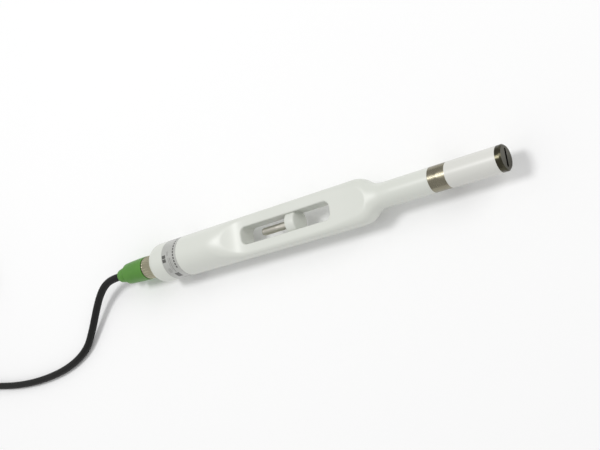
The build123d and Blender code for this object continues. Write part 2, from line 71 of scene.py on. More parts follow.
def placeCamera(look):
    back = Vector(look["toCamera"]).normalized()
    across = Vector(look["across"])
    across = (across - back * across.dot(back)).normalized()
    up = back.cross(across)
    anchor = Vector((rearX + look["anchorFromRear"], 0, axisHeight))
    place = anchor + back * look["distance"]
    place = place + across * look["slideAcross"] + up * look["slideUp"]
    data = bpy.data.cameras.new("camera")
    data.lens = look["lens"]
    data.clip_start = look["nearest"]
    camera = bpy.data.objects.new("camera", data)
    bpy.context.collection.objects.link(camera)
    turn = Matrix((across, up, back)).transposed().to_4x4()
    camera.matrix_world = Matrix.Translation(place) @ turn
    bpy.context.scene.camera = camera


placeCamera(cameraView)
print("camera placed")


# Node maths: a Wire wraps one socket, and a Finish builds one material

class Wire:
    def __init__(self, finish, socket):
        self.finish = finish
        self.socket = socket

    def maths(self, operation, *values):
        return self.finish.node("Math", {"operation": operation}, dict(enumerate(values)))

    def __add__(self, other):
        return self.maths("ADD", self, other)

    def __radd__(self, other):
        return self.maths("ADD", other, self)

    def __sub__(self, other):
        return self.maths("SUBTRACT", self, other)

    def __rsub__(self, other):
        return self.maths("SUBTRACT", other, self)

    def __mul__(self, other):
        return self.maths("MULTIPLY", self, other)

    def __rmul__(self, other):
        return self.maths("MULTIPLY", other, self)

    def __truediv__(self, other):
        return self.maths("DIVIDE", self, other)

    def __rtruediv__(self, other):
        return self.maths("DIVIDE", other, self)

    def __pow__(self, other):
        return self.maths("POWER", self, other)

    def __rpow__(self, other):
        return self.maths("POWER", other, self)

    def __lt__(self, other):
        return self.maths("LESS_THAN", self, other)

    def __gt__(self, other):
        return self.maths("GREATER_THAN", self, other)

    def __mod__(self, other):
        return self.maths("FLOORED_MODULO", self, other)

    def __rmod__(self, other):
        return self.maths("FLOORED_MODULO", other, self)

    def between(self, low, high):
        return (self > low) * (self < high)

    def spread(self, low, high):
        return self * (high - low) + low


class Finish:
    def __init__(self, name, slot, **constants):
        self.name = name
        self.slot = slot
        self.material = bpy.data.materials.new(name)
        self.material.use_nodes = True
        self.tree = self.material.node_tree
        self.shader = self.tree.nodes["Principled BSDF"]
        self.set(**constants)

    def set(self, **values):
        for key, value in values.items():
            self.feed(self.shader.inputs[key.replace("_", " ")], value)

    def feed(self, socket, value):
        if isinstance(value, Wire):
            self.tree.links.new(value.socket, socket)
        elif socket.type == "RGBA":
            socket.default_value = (*value, 1.0)
        else:
            socket.default_value = value

    def node(self, kind, settings=None, inputs=None, output=0):
        made = self.tree.nodes.new("ShaderNode" + kind)
        for key, value in (settings or {}).items():
            setattr(made, key, value)
        for key, value in (inputs or {}).items():
            self.feed(made.inputs[key], value)
        return Wire(self, made.outputs[output])

    def place(self):
        return self.node("TexCoord", output="Object")

    def parts(self, vector):
        split = self.node("SeparateXYZ", None, {0: vector})
        return [Wire(self, output) for output in split.socket.node.outputs]

    def joined(self, x, y, z):
        return self.node("CombineXYZ", None, {0: x, 1: y, 2: z})

    def noise(self, vector, scale, detail=2.0, roughness=0.5):
        return self.node(
            "TexNoise", None,
            {"Vector": vector, "Scale": scale, "Detail": detail, "Roughness": roughness},
        )

    def mix(self, amount, first, second):
        return self.node("Mix", {"data_type": "RGBA"}, {0: amount, 6: first, 7: second}, 2)

    def bump(self, height, strength, distance):
        return self.node(
            "Bump", None, {"Strength": strength, "Distance": distance, "Height": height},
        )

    def dress(self, *pieces):
        for piece in pieces:
            data = piece.data
            data.materials.clear()
            data.materials.append(self.material)


# Moulded plastics: a faint cloud in the colour and a fine orange peel in the surface

whitePlastic = {
    "colour": (0.70, 0.715, 0.665),
    "shade": (0.67, 0.69, 0.635),
    "shadeSpread": (-0.4, 1.4),
    "roughness": (0.34, 0.42),
    "cloudScale": 28.0,
    "cloudDetail": 3.0,
    "cloudShare": 0.6,
    "peelScale": 420.0,
    "peelHeight": 0.00002,
    "peelStrength": 0.25,
    "ior": 1.5,
    "specular": 0.5,
    "coat": 0.08,
    "coatRoughness": 0.25,
}
satinPlastic = {
    **whitePlastic, "colour": (0.71, 0.71, 0.67), "shade": (0.685, 0.685, 0.645), "coat": 0.1,
}
greenPlastic = {
    **whitePlastic, "colour": (0.095, 0.275, 0.037), "shade": (0.078, 0.235, 0.032),
    "roughness": (0.36, 0.5), "cloudScale": 60.0, "peelScale": 1500.0, "peelHeight": 0.00005,
    "specular": 0.4, "coat": 0.0,
}
blackPlastic = {
    **whitePlastic, "colour": (0.006, 0.006, 0.0055), "shade": (0.010, 0.010, 0.0095),
    "roughness": (0.5, 0.66), "cloudScale": 90.0, "peelScale": 1800.0, "peelHeight": 0.00006,
    "coat": 0.0,
}
insertPlastic = {
    **blackPlastic, "colour": (0.03, 0.03, 0.03), "shade": (0.04, 0.04, 0.04),
    "roughness": (0.4, 0.5),
}
boardLaminate = {
    **blackPlastic, "colour": (0.03, 0.16, 0.06), "shade": (0.02, 0.12, 0.045),
    "roughness": (0.3, 0.4), "coat": 0.2,
}
redInsulation = {**blackPlastic, "colour": (0.42, 0.04, 0.03), "shade": (0.34, 0.03, 0.02)}


def moulded(name, slot, look):
    finish = Finish(
        name, slot, IOR=look["ior"], Specular_IOR_Level=look["specular"],
        Coat_Weight=look["coat"], Coat_Roughness=look["coatRoughness"],
    )
    place = finish.place()
    cloud = finish.noise(place, look["cloudScale"], look["cloudDetail"])
    peel = finish.noise(place, look["peelScale"])
    share = look["cloudShare"]
    finish.set(
        Base_Color=finish.mix(cloud.spread(*look["shadeSpread"]), look["colour"], look["shade"]),
        Roughness=(cloud * share + peel * (1 - share)).spread(*look["roughness"]),
        Normal=finish.bump(peel, look["peelStrength"], look["peelHeight"]),
    )
    return finish


housingFinish = moulded("glossyWhitePlastic", "housing_plastic", whitePlastic)
sleeveFinish = moulded("satinWhitePlastic", "sleeve_plastic", satinPlastic)
greenFinish = moulded("greenPolyurethane", "green_plastic", greenPlastic)
jacketFinish = moulded("blackCableJacket", "cable_jacket", {**blackPlastic, "specular": 0.25})
insertFinish = moulded("blackInsert", "insert_plastic", insertPlastic)
rubberFinish = moulded("sealRubber", "seal_rubber", {**blackPlastic, "roughness": (0.6, 0.75)})
chipFinish = moulded("blackEpoxy", "component_plastic", {**blackPlastic, "roughness": (0.45, 0.6)})
boardFinish = moulded("circuitLaminate", "board_laminate", boardLaminate)
wireFinish = moulded("redInsulation", "wire_insulation", redInsulation)

# Turned metals: fine lathe lines round the axis, or round the middle of a faced end

turnedSteel = {
    "light": (0.33, 0.305, 0.23),
    "dark": (0.21, 0.195, 0.145),
    "toneSpread": (-0.3, 1.3),
    "roughness": (0.2, 0.34),
    "lineScale": 5200.0,
    "lineDetail": 4.0,
    "lineRoughness": 0.7,
    "lineShare": 0.6,
    "lineHeight": 0.00001,
    "lineStrength": 0.5,
    "wearScale": 160.0,
    "wearDetail": 3.0,
    "anisotropy": 0.4,
}
polishedSteel = {
    **turnedSteel, "light": (0.78, 0.76, 0.69), "dark": (0.42, 0.40, 0.33),
    "roughness": (0.3, 0.45),
}
# Faced end: both tones are painted very dark, a painted dark reflection in the base colour that
# stands in for what the polished end face mirrors, not the steel's own colour
facedSteelPaintedShade = {
    **turnedSteel, "light": (0.075, 0.07, 0.047), "dark": (0.045, 0.042, 0.028),
    "roughness": (0.16, 0.26), "lineScale": 2600.0,
}
nickelPlate = {
    **turnedSteel, "light": (0.50, 0.475, 0.34), "dark": (0.38, 0.36, 0.255),
    "roughness": (0.28, 0.42),
}
goldPlate = {**turnedSteel, "light": (0.85, 0.62, 0.25), "dark": (0.72, 0.50, 0.18)}


def turned(name, slot, look, faced=False):
    finish = Finish(name, slot, Metallic=1.0, Anisotropic=look["anisotropy"])
    place = finish.place()
    x, y, z = finish.parts(place)
    if faced:
        z = z - axisHeight
        x = (y * y + z * z) ** 0.5
    across = finish.joined(x, 0.0, 0.0)
    lines = finish.noise(across, look["lineScale"], look["lineDetail"], look["lineRoughness"])
    wear = finish.noise(place, look["wearScale"], look["wearDetail"])
    share = look["lineShare"]
    tone = (lines * share + wear * (1 - share)).spread(*look["toneSpread"])
    finish.set(
        Base_Color=finish.mix(tone, look["dark"], look["light"]),
        Roughness=(wear * 0.5 + lines * 0.5).spread(*look["roughness"]),
        Normal=finish.bump(lines, look["lineStrength"], look["lineHeight"]),
    )
    return finish


steelFinish = turned("turnedSteel", "steel", turnedSteel)
pinFinish = turned("polishedSteel", "steel", polishedSteel)
# the faced end finish carries the painted dark reflection in its base colour
endPaintedShadeFinish = turned("facedSteelPaintedShade", "end_steel", facedSteelPaintedShade, faced=True)
nickelFinish = turned("nickelPlate", "nickel", nickelPlate)
brassFinish = turned("goldPlatedContact", "contact_brass", goldPlate)

# Label: a silver film with plain bars and dashes for print.
# Rows run from one place to another along the film in millimetres, and from a low to a high
# angle round it in degrees, in dashes a pitch apart that fill a share of it.

labelPrint = {
    "film": (0.50, 0.505, 0.48),
    "filmShade": (0.43, 0.435, 0.41),
    "grainScale": 900.0,
    "roughness": 0.4,
    "metallic": 0.15,
    "coat": 0.3,
    "coatRoughness": 0.2,
    "ink": (0.05, 0.05, 0.045),
    "inkStrength": 0.9,
    "paleInk": (0.2, 0.2, 0.19),
    "paleStrength": 0.7,
    "darkRows": [
        {"from": 0.5, "to": 3.6, "low": -14, "high": 9, "pitch": 11.5, "share": 0.86},
        {"from": 4.6, "to": 8.6, "low": -74, "high": -54, "pitch": 60, "share": 1.0},
        {"from": 9.9, "to": 11.1, "low": -38, "high": 74, "pitch": 9.0, "share": 0.7},
    ],
    "paleRows": [
        {"from": 4.6, "to": 6.2, "low": 4, "high": 16, "pitch": 2.6, "share": 0.55},
        {"from": 2.4, "to": 4.8, "low": -48, "high": -34, "pitch": 4.2, "share": 0.6},
        {"from": 5.6, "to": 6.2, "low": -42, "high": -2, "pitch": 3.1, "share": 0.66},
        {"from": 6.9, "to": 7.6, "low": -50, "high": -4, "pitch": 80, "share": 1.0},
        {"from": 8.3, "to": 8.8, "low": -34, "high": -6, "pitch": 3.7, "share": 0.66},
        {"from": 3.0, "to": 12.4, "low": 62, "high": 100, "pitch": 7.0, "share": 0.45},
        {"from": 5.0, "to": 12.4, "low": -120, "high": -80, "pitch": 6.0, "share": 0.5},
    ],
}


def printedLabel(look):
    finish = Finish(
        "printedLabel", "label_film", Roughness=look["roughness"], Metallic=look["metallic"],
        Coat_Weight=look["coat"], Coat_Roughness=look["coatRoughness"],
    )
    place = finish.place()
    x, y, z = finish.parts(place)
    along = (x - corners("label_band")[0].x) / mm
    angle = y.maths("ARCTAN2", y, z - axisHeight) * math.degrees(1)

    def printed(rows):
        ink = 0.0
        for row in rows:
            broken = ((angle - row["low"]) % row["pitch"]) < row["pitch"] * row["share"]
            area = along.between(row["from"], row["to"]) * angle.between(row["low"], row["high"])
            ink = area * broken + ink
        return finish.node("Clamp", None, {0: ink})

    pale = printed(look["paleRows"]) * look["paleStrength"]
    dark = printed(look["darkRows"]) * look["inkStrength"]
    grain = finish.noise(place, look["grainScale"])
    film = finish.mix(grain, look["filmShade"], look["film"])
    film = finish.mix(pale, film, look["paleInk"])
    finish.set(Base_Color=finish.mix(dark, film, look["ink"]))
    return finish


labelFinish = printedLabel(labelPrint)

# Hook and loop strap: a woven look

strapWeave = {
    "colour": (0.02, 0.02, 0.021),
    "thread": (0.06, 0.06, 0.062),
    "roughness": 0.85,
    "pitch": 0.55 * mm,
    "height": 0.12 * mm,
    "strength": 0.6,
}


def woven(look):
    finish = Finish("hookAndLoopStrap", "tie_strap", Roughness=look["roughness"])
    x, y, z = finish.parts(finish.place())
    turn = 2 * math.pi / look["pitch"]
    warp = x.maths("SINE", (x + z) * turn)
    weft = y.maths("SINE", y * turn)
    weave = warp * weft * 0.5 + 0.5
    finish.set(
        Base_Color=finish.mix(weave, look["colour"], look["thread"]),
        Normal=finish.bump(weave, look["strength"], look["height"]),
    )
    return finish


strapFinish = woven(strapWeave)
print("finishes made")


# Mesh helpers

def rearMiddle(node):
    # the middle of a node's rear end
    low, high = corners(node)
    return Vector((low.x, (low.y + high.y) / 2, (low.z + high.z) / 2))


def addMesh(name, points, faces, body, sharp=35):
    data = bpy.data.meshes.new(name)
    data.from_pydata([tuple(point) for point in points], [], faces)
    data.validate()
    piece = bpy.data.objects.new(name, data)
    bpy.context.collection.objects.link(piece)
    data.shade_smooth()
    data.set_sharp_from_angle(angle=math.radians(sharp))
    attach(piece, body)
    return piece


def rounded(outline, steps=5):
    # outline: (along, radius, rounding) corners of a closed loop, each turned into an arc
    # that takes less than half of the shorter side
    path = []
    count = len(outline)
    for number in range(count):
        x, y, size = outline[number]
        corner = Vector((x, y))
        before = Vector(outline[number - 1][:2])
        after = Vector(outline[(number + 1) % count][:2])
        if size <= 0:
            path.append((x, y))
            continue
        inward = (before - corner).normalized()
        outward = (after - corner).normalized()
        half = inward.angle(outward) / 2
        sides = (before - corner).length, (after - corner).length
        reach = min(size / math.tan(half), 0.48 * min(sides))
        size = reach * math.tan(half)
        centre = corner + (inward + outward).normalized() * size / math.sin(half)
        start = corner + inward * reach - centre
        end = corner + outward * reach - centre
        sweep = start.angle_signed(end)
        for step in range(steps + 1):
            turn = -sweep * step / steps
            path.append((
                centre.x + start.x * math.cos(turn) - start.y * math.sin(turn),
                centre.y + start.x * math.sin(turn) + start.y * math.cos(turn),
            ))
    return path


def latheMesh(name, outline, origin, body, segments=96, shape=None, sharp=35):
    # outline: closed loop of (along X, radius) in metres about an X axis through origin
    points = []
    for number in range(segments):
        angle = 2 * math.pi * number / segments
        for along, radius in outline:
            size = shape(along, radius, angle) if shape else radius
            y, z = size * math.sin(angle), size * math.cos(angle)
            points.append((origin.x + along, origin.y + y, origin.z + z))
    count = len(outline)
    faces = []
    for number in range(segments):
        here, there = number * count, (number + 1) % segments * count
        for k in range(count):
            n = (k + 1) % count
            faces.append((here + k, here + n, there + n, there + k))
    return addMesh(name, points, faces, body, sharp)


# Cable: one smooth line from the plug, along the floor, through the coil and out to the far plug.
# The route is in millimetres from the plug, and the coil's side and the tail from the coil.

cable = {
    "diameter": 5.2 * mm,
    "length": 1.5,
    "route": [
        (0, 0, 12.5), (-11, 0, 12.5), (-21, -3.0, 11.7), (-30, -9.0, 9.8), (-38.5, -18, 7.6),
        (-48, -30, 5.2), (-60, -43, 3.0), (-84, -52.5, 2.6), (-116, -57, 2.6), (-152, -57.5, 2.6),
    ],
    "coilSide": [(-190, -2.0, -0.6), (-224, 0, 0)],
    "tail": [(16, -0.4), (30, -2.0), (44, -2.0)],
    "coilMiddle": 58.5 * mm,
    "turnsAcross": 3.1,
    "leadBlend": 0.3,
    "climb": 0.35,
    "turns": 6.5,
    "pointsEachTurn": 14,
    "gap": 0.1 * mm,
    "smoothness": 6,
}
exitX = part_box("plug_body")[0][0]
coilLow, coilHigh = corners("cable_coil")
coilCentre = (coilLow + coilHigh) / 2
farStart = rearMiddle("far_plug_body")


def coilLine(look):
    # a lower layer wound inwards, a climb, and an upper layer wound outwards
    wide = look["diameter"]
    outer = look["coilMiddle"] / 2 + look["turnsAcross"] * wide / 2
    lower = look["leadBlend"] + look["turnsAcross"]
    inner = outer - look["turnsAcross"] * wide - look["climb"] * wide
    upper = lower + look["climb"]
    blendOut = look["turns"] - look["leadBlend"]
    line = []
    steps = round(look["turns"] * look["pointsEachTurn"])
    for step in range(1, steps):
        turn = look["turns"] * step / steps
        height = coilLow.z + wide / 2
        if turn < look["leadBlend"]:
            radius = outer + (wide + look["gap"]) * (1 - turn / look["leadBlend"]) ** 2
        elif turn < upper:
            radius = outer - wide * (turn - look["leadBlend"])
        elif turn < blendOut:
            radius = inner + (outer - inner) * (turn - upper) / (blendOut - upper)
        else:
            radius = outer + (wide + look["gap"]) * ((turn - blendOut) / look["leadBlend"]) ** 2
        rise = min(max((turn - lower) / look["climb"], 0), 1)
        height += wide * rise * rise * (3 - 2 * rise)
        angle = -math.pi / 2 - 2 * math.pi * turn
        x, y = radius * math.cos(angle), radius * math.sin(angle)
        line.append((coilCentre.x + x, coilCentre.y + y, height))
    return line


def cableLine(look):
    wide = look["diameter"]
    beside = look["coilMiddle"] / 2 + look["turnsAcross"] * wide / 2 + wide + look["gap"]
    floor = coilLow.z + wide / 2
    line = [(exitX + x * mm, y * mm, z * mm) for x, y, z in look["route"]]
    for x, y, z in look["coilSide"]:
        line.append((exitX + x * mm, coilCentre.y - beside + y * mm, floor + z * mm))
    line.append((coilCentre.x, coilCentre.y - beside, floor))
    line += coilLine(look)
    line.append((coilCentre.x, coilCentre.y + beside, floor + wide))
    heights = [floor + wide, farStart.z, farStart.z]
    for (x, y), z in zip(look["tail"], heights):
        line.append((coilCentre.x + x * mm, coilCentre.y + beside + y * mm, z))
    return line


def makeCable(look):
    data = bpy.data.curves.new("cable", "CURVE")
    data.dimensions = "3D"
    data.bevel_depth = 1.0  # the points' own radius gives the size
    data.bevel_resolution = look["smoothness"]
    data.resolution_u = look["smoothness"]
    data.use_fill_caps = True
    line = cableLine(look)
    spline = data.splines.new("NURBS")
    spline.points.add(len(line) - 1)
    for point, place in zip(spline.points, line):
        point.co = (*place, 1.0)
        point.radius = look["diameter"] / 2
    spline.order_u = 3
    spline.use_endpoint_u = True
    piece = bpy.data.objects.new("cable", data)
    bpy.context.collection.objects.link(piece)
    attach(piece, "plug")
    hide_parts("cable_lead", "cable_coil", "cable_tail")
    jacketFinish.dress(piece)
    return piece


cableCord = makeCable(cable)

# Strap round the coil

strap = {"thickness": 0.8 * mm, "rounding": 2.4 * mm, "softEdge": 0.25 * mm, "cornerSteps": 6}


def makeStrap(look):
    low, high = corners("coil_tie")

    def ring(inset):
        left, right, bottom, top = low.x + inset, high.x - inset, low.z + inset, high.z - inset
        size = look["rounding"] - inset
        places = (left, bottom), (right, bottom), (right, top), (left, top)
        return rounded([(x, z, size) for x, z in places], look["cornerSteps"])

    outer, inner = ring(0), ring(look["thickness"])
    loops = (outer, low.y), (outer, high.y), (inner, high.y), (inner, low.y)
    points = [(x, y, z) for path, y in loops for x, z in path]
    count = len(outer)
    faces = []
    for loop in range(4):
        here, there = loop * count, (loop + 1) % 4 * count
        for k in range(count):
            n = (k + 1) % count
            faces.append((here + k, here + n, there + n, there + k))
    piece = addMesh("coilStrap", points, faces, "plug")
    bevel = piece.modifiers.new("softEdge", "BEVEL")
    bevel.width = look["softEdge"]
    bevel.segments = 2
    bevel.limit_method = "ANGLE"
    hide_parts("coil_tie")
    strapFinish.dress(piece)
    return piece


coilStrap = makeStrap(strap)
print("cable laid")


# Main body: the handle, the flattened middle with its window and the slim neck, as one rounded
# skin. Lengths are in millimetres from the seam with the rear cap. A spot is a place, how far
# round it the cells are finer, and their size.

bodyShape = {
    "neckRadius": 6.65,
    "slabHalf": 5.0,
    "rampTop": 41.5,
    "rampFoot": 56.5,
    "runOut": 140.0,
    "shoulder": 142.0,
    "neck": 158.0,
    "window": (59.5, 125.2),
    "windowHalf": 5.1,
    "windowCorner": 3.6,
    "windowRim": 0.9,
    "roundingPlaces": (30, 44, 60, 120, 146, 152, 168),
    "roundings": (3.0, 2.8, 1.5, 1.5, 3.0, 3.0, 1.0),
    "footRounding": 2.6,
    "crisp": 0.12,
    "labelDepth": 0.25,
    "labelGap": 0.05,
    "bores": [
        {"from": -1.0, "to": 40.0, "radius": 9.5, "side": 0.0},
        {"from": -1.0, "to": 8.0, "radius": 10.8, "side": 0.0},
        {"from": 130.2, "to": 173.3, "radius": 3.1, "side": 0.0},
        {"from": 173.3, "to": 188.3, "radius": 4.55, "side": 0.0},
        {"from": 39.0, "to": 134.5, "radius": 1.3, "side": 7.9},
    ],
    "cell": 0.62,
    "margin": 0.7,
    "endReach": 0.35,
    "endCell": 0.1,
    "lengthSpots": [(59.5, 1.4, 0.3), (125.2, 1.4, 0.3), (146, 9.0, 0.45)],
    "widthSpots": [(-5.7, 1.0, 0.3), (5.7, 1.0, 0.3), (-11.2, 1.5, 0.4), (11.2, 1.5, 0.4)],
    "heightSpots": [(-4.5, 0.9, 0.3), (4.5, 0.9, 0.3)],
    "settleSteps": 6,
    "settleMost": 0.3,
    "leastSlope": 0.2,
}


def softMax(first, second, size):
    # the greater of two fields, with a rounding of the given size where they cross
    lifted = np.hypot(np.maximum(first + size, 0), np.maximum(second + size, 0))
    return np.minimum(-size, np.maximum(first, second)) + lifted


def bodyField(look):
    # below zero inside the plastic, above zero outside
    length = (bodyHigh.x - bodyLow.x) / mm
    wide = bodyRadius / mm
    holderLow, holderHigh = corners("pin_holder")
    holder = {
        "from": (holderLow.x - bodyLow.x) / mm, "to": (holderHigh.x - bodyLow.x) / mm,
        "radius": (holderHigh.z - holderLow.z) / mm / 2, "side": 0.0,
    }
    labelEnd = (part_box("label_band")[1][0] - bodyLow.x) / mm + look["labelGap"]
    drop = wide - look["neckRadius"]
    run = (look["neck"] - look["shoulder"]) / 2
    bend = (run * run + (drop / 2) ** 2) / drop
    slope = (wide - look["slabHalf"]) / (look["rampFoot"] - look["rampTop"])
    rise = (look["neckRadius"] - look["slabHalf"]) / (look["neck"] - look["runOut"])

    def field(x, y, z):
        out = np.clip(x - look["shoulder"], 0, run)
        back = np.clip(look["neck"] - x, 0, run)
        nearer = x < look["shoulder"] + run
        turnedRadius = np.where(
            nearer, wide - bend + np.sqrt(bend ** 2 - out ** 2),
            look["neckRadius"] + bend - np.sqrt(bend ** 2 - back ** 2),
        )
        lean = np.where(nearer, out, back) / bend
        turnedSide = (np.hypot(y, z) - turnedRadius) * np.sqrt(1 - lean ** 2)
        ramp = (look["rampFoot"] - x) * slope
        runOut = (x - look["runOut"]) * rise
        foot = look["footRounding"]
        rampLift = (ramp + np.sqrt(ramp ** 2 + foot ** 2)) / 2
        neckLift = (runOut + np.sqrt(runOut ** 2 + foot ** 2)) / 2
        steep = slope * (1 + ramp / np.sqrt(ramp ** 2 + foot ** 2)) / 2
        flatSide = (np.abs(z) - look["slabHalf"] - rampLift - neckLift) / np.sqrt(1 + steep ** 2)
        rounding = np.interp(x, look["roundingPlaces"], look["roundings"])
        skin = softMax(turnedSide, flatSide, rounding)
        corner = look["windowCorner"]
        start, end = look["window"]
        acrossX = np.abs(x - (start + end) / 2) - (end - start) / 2 + corner
        acrossY = np.abs(y) - look["windowHalf"] + corner
        opening = (
            np.hypot(np.maximum(acrossX, 0), np.maximum(acrossY, 0))
            + np.minimum(np.maximum(acrossX, acrossY), 0) - corner
        )
        skin = softMax(skin, -opening, look["windowRim"])
        crisp = look["crisp"]
        skin = softMax(skin, -x, crisp)
        skin = softMax(skin, x - length, crisp)
        recess = np.maximum(wide - look["labelDepth"] - np.hypot(y, z), x - labelEnd)
        skin = softMax(skin, -recess, crisp / 3)
        for bore in look["bores"] + [holder]:
            beyond = np.hypot(y - bore["side"], z) - bore["radius"]
            hole = np.maximum(beyond, np.maximum(bore["from"] - x, x - bore["to"]))
            skin = softMax(skin, -hole, crisp)
        return skin

    return field, length, wide, [holder["from"], holder["to"], labelEnd]


def gridLine(low, high, step, spots):
    # even steps, with finer ones round each spot
    places = [low]
    while places[-1] < high:
        here = places[-1]
        nearest = [
            size for middle, reach, size in spots if middle - reach - step < here < middle + reach
        ]
        places.append(here + min(nearest, default=step))
    return np.array(places)


def surfaceNet(field, lines):
    # one point in each cell that the surface crosses, and one face on each edge that it crosses
    grid = np.meshgrid(*lines, indexing="ij")
    values = field(*grid)
    cells = tuple(len(line) - 1 for line in lines)
    total = np.zeros((3, *cells))
    count = np.zeros(cells)
    crossings = []
    for axis in range(3):
        u, v = (axis + 1) % 3, (axis + 2) % 3
        lower = [slice(None)] * 3
        upper = [slice(None)] * 3
        lower[axis] = slice(0, cells[axis])
        upper[axis] = slice(1, cells[axis] + 1)
        near, far = values[tuple(lower)], values[tuple(upper)]
        crossed = (near < 0) != (far < 0)
        share = np.where(crossed, near / np.where(crossed, near - far, 1), 0)
        place = [direction[tuple(lower)] for direction in grid]
        place[axis] = place[axis] + share * (grid[axis][tuple(upper)] - place[axis])
        crossings.append((crossed, near < 0))
        for stepU in (0, 1):
            for stepV in (0, 1):
                window = [slice(None)] * 3
                window[u] = slice(stepU, stepU + cells[u])
                window[v] = slice(stepV, stepV + cells[v])
                hit = crossed[tuple(window)]
                count += hit
                for k in range(3):
                    total[k] += np.where(hit, place[k][tuple(window)], 0)
    active = count > 0
    index = np.full(cells, -1)
    index[active] = np.arange(active.sum())
    points = (total[:, active] / count[active]).T
    faces = []
    for axis in range(3):
        u, v = (axis + 1) % 3, (axis + 2) % 3
        crossed, solid = crossings[axis]
        window = [slice(None)] * 3
        window[u] = slice(1, cells[u])
        window[v] = slice(1, cells[v])
        spots = np.argwhere(crossed[tuple(window)])
        spots[:, u] += 1
        spots[:, v] += 1
        ring = []
        for stepU, stepV in ((1, 1), (0, 1), (0, 0), (1, 0)):
            cell = spots.copy()
            cell[:, u] -= stepU
            cell[:, v] -= stepV
            ring.append(index[tuple(cell.T)])
        quads = np.stack(ring, axis=1)
        outward = solid[tuple(spots.T)]
        faces.append(np.where(outward[:, None], quads, quads[:, ::-1]))
    return points, np.concatenate(faces)


def gradient(field, points, reach=0.02):
    columns = []
    for k in range(3):
        step = np.zeros(3)
        step[k] = reach
        columns.append(field(*(points + step).T) - field(*(points - step).T))
    return np.stack(columns, axis=1) / (2 * reach)


def makeBody(look):
    field, length, wide, marks = bodyField(look)
    margin, cell, most = look["margin"], look["cell"], look["settleMost"]
    ends = [(place, look["endReach"], look["endCell"]) for place in (0, length, *marks)]
    lines = [
        gridLine(-margin, length + margin, cell, ends + look["lengthSpots"]),
        gridLine(-wide - margin, wide + margin, cell, look["widthSpots"]),
        gridLine(-wide - margin, wide + margin, cell, look["heightSpots"]),
    ]
    points, faces = surfaceNet(field, lines)
    for _ in range(look["settleSteps"]):
        # each point settles on to the surface
        slopes = gradient(field, points)
        size = np.maximum((slopes ** 2).sum(axis=1), look["leastSlope"])
        move = field(*points.T) / size
        points -= slopes * np.clip(move, -most, most)[:, None]
    normals = gradient(field, points)
    normals /= np.maximum(np.linalg.norm(normals, axis=1), 1e-6)[:, None]
    placed = points * mm + np.array((bodyLow.x, 0, axisHeight))
    data = bpy.data.meshes.new("mainHousing")
    data.from_pydata(placed.tolist(), [], faces.tolist())
    data.shade_smooth()
    data.normals_split_custom_set_from_vertices(normals.tolist())
    piece = bpy.data.objects.new("mainHousing", data)
    bpy.context.collection.objects.link(piece)
    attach(piece, "probe")
    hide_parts("main_body")
    housingFinish.dress(piece)
    print("main housing:", len(faces), "faces")


makeBody(bodyShape)

# Holder that carries the temperature pin across the window

pinHolder = {
    "backRounding": 0.35, "frontRounding": 1.1, "seatRadius": 2.3, "seatDepth": 2.1,
    "slack": 0.02, "hub": 0.01,
}


def makeHolder(look):
    low, high = corners("pin_holder")
    length, radius = high.x - low.x, (high.z - low.z) / 2 - look["slack"] * mm
    seat, depth, hub = look["seatRadius"] * mm, look["seatDepth"] * mm, look["hub"] * mm
    outline = rounded([
        (0, seat, 0.15 * mm), (0, radius, look["backRounding"] * mm),
        (length, radius, look["frontRounding"] * mm), (length, hub, 0),
        (depth, hub, 0), (depth, seat, 0),
    ])
    piece = latheMesh("pinHolder", outline, Vector((low.x, 0, axisHeight)), "probe")
    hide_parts("pin_holder")
    housingFinish.dress(piece)


makeHolder(pinHolder)
print("housing built")

# Plug: a moulded green grip with a boot, and a ribbed metal nut

plugShape = {
    "boot": 6.5, "bootRadius": 5.0, "waist": 2.4, "waistRadius": 3.8, "length": 16.3,
    "backRadius": 6.95, "frontRadius": 7.65, "skirtRadius": 7.15,
    "gripFrom": 12.0, "gripTo": 21.0, "grooves": 12, "grooveDepth": 0.12,
    "rowStep": 0.8, "segments": 144,
}


def gripOutline(look, inner, skirt):
    # (along, radius, rounding) from the cable end to the nose, in millimetres
    boot, back, front = look["bootRadius"], look["backRadius"], look["frontRadius"]
    narrow = look["waistRadius"]
    bootEnd = look["boot"]
    waistEnd = bootEnd + look["waist"]
    end = waistEnd + look["length"]
    return [(x * mm, r * mm) for x, r in rounded([
        (0, inner, 0.3), (0, boot - 0.7, 1.6), (bootEnd * 0.6, boot, 1.5),
        (bootEnd, boot - 0.05, 0.6), (bootEnd + 0.15, narrow, 0.4),
        (waistEnd - 0.15, narrow, 0.4), (waistEnd, back, 0.4),
        (waistEnd + 6.0, back + 0.35, 6.0), (end - 4.0, front - 0.1, 4.0),
        (end + skirt, front, 0.4), (end + skirt, look["skirtRadius"], 0.15),
        (end, look["skirtRadius"], 0.1), (end, inner, 0.2),
    ])]


def grooved(look):
    def shape(along, radius, angle):
        low, high = look["gripFrom"] * mm, look["gripTo"] * mm
        if radius < look["backRadius"] * mm or not low < along < high:
            return radius
        fade = math.sin(math.pi * (along - low) / (high - low))
        ridge = max(0.0, math.cos(angle * look["grooves"])) ** 6
        return radius - look["grooveDepth"] * mm * ridge * fade
    return shape


def subdivided(outline, step):
    # extra rows along the long straight stretches
    path = []
    for number, (x, r) in enumerate(outline):
        nextX, nextR = outline[(number + 1) % len(outline)]
        parts = max(1, round(math.hypot(nextX - x, nextR - r) / step))
        for k in range(parts):
            path.append((x + (nextX - x) * k / parts, r + (nextR - r) * k / parts))
    return path


def makeGrip(name, node, inner, skirt, look):
    outline = subdivided(gripOutline(look, inner, skirt), look["rowStep"] * mm)
    piece = latheMesh(name, outline, rearMiddle(node), "plug", look["segments"], grooved(look))
    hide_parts(node)
    greenFinish.dress(piece)
    return piece


nutShape = {
    "ribs": 30, "ribDepth": 0.3, "ribFrom": 3.4, "ribTo": 10.6, "ribFade": 0.5,
    "backBore": 5.2, "threadBore": 6.2, "lip": 3.1, "lipGap": 0.3, "backRadius": 6.8,
    "rowStep": 0.6,
}


